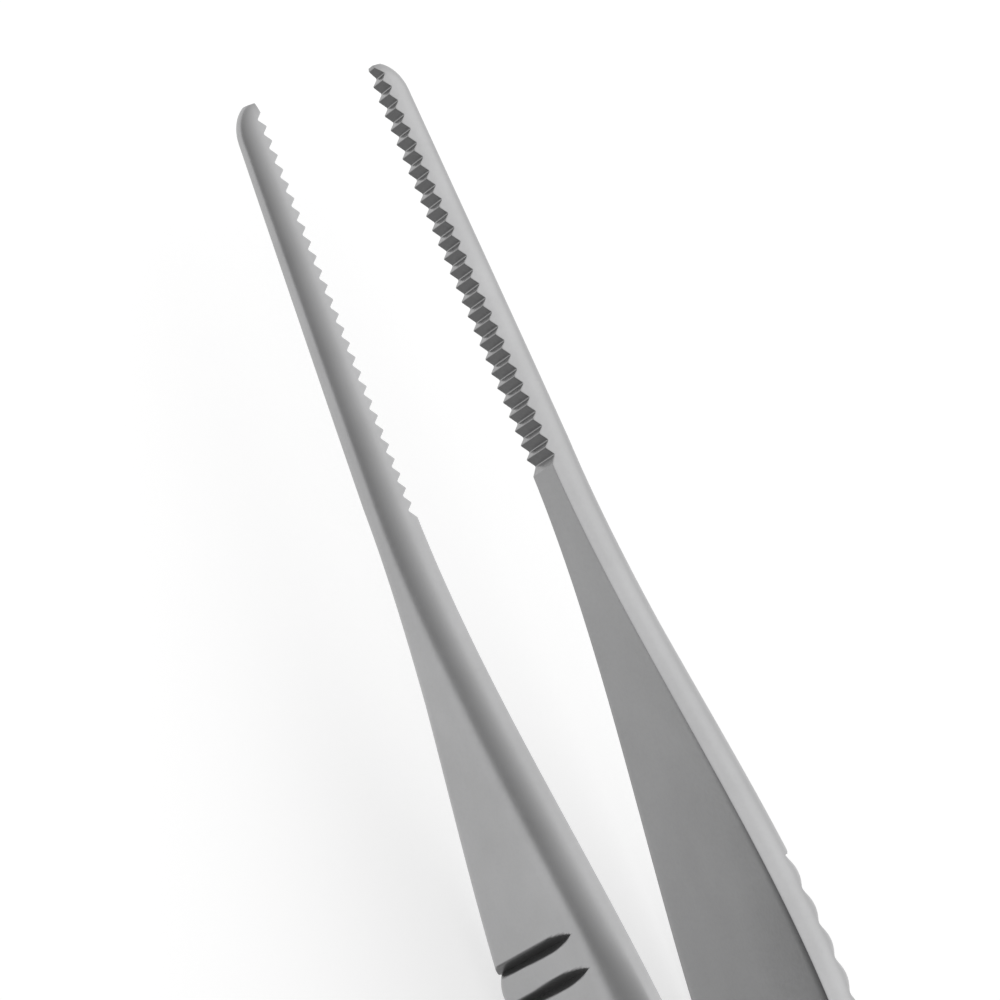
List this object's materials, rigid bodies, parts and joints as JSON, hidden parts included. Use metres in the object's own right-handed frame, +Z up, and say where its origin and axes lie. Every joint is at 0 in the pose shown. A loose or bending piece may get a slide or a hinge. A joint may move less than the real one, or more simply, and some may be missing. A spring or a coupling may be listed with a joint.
{
  "type": "thumb forceps",
  "caption": "Spring-arm thumb forceps welded at the heel, with cross-grooved wide grips and narrow straight jaws whose serrations mesh.",
  "frame": {"origin": "on the surface that the forceps lie on, at the middle of their length and of their opening", "axes": "+Y towards the tips, X across the opening between the arms, +Z up along the width of the arms"},
  "size_m": [0.0124, 0.12, 0.0144],
  "materials": {
    "satin_steel": "satin"
  },
  "bodies": {
    "root": {"left_arm": "satin_steel", "right_arm": "satin_steel"}
  },
  "joints": []
}
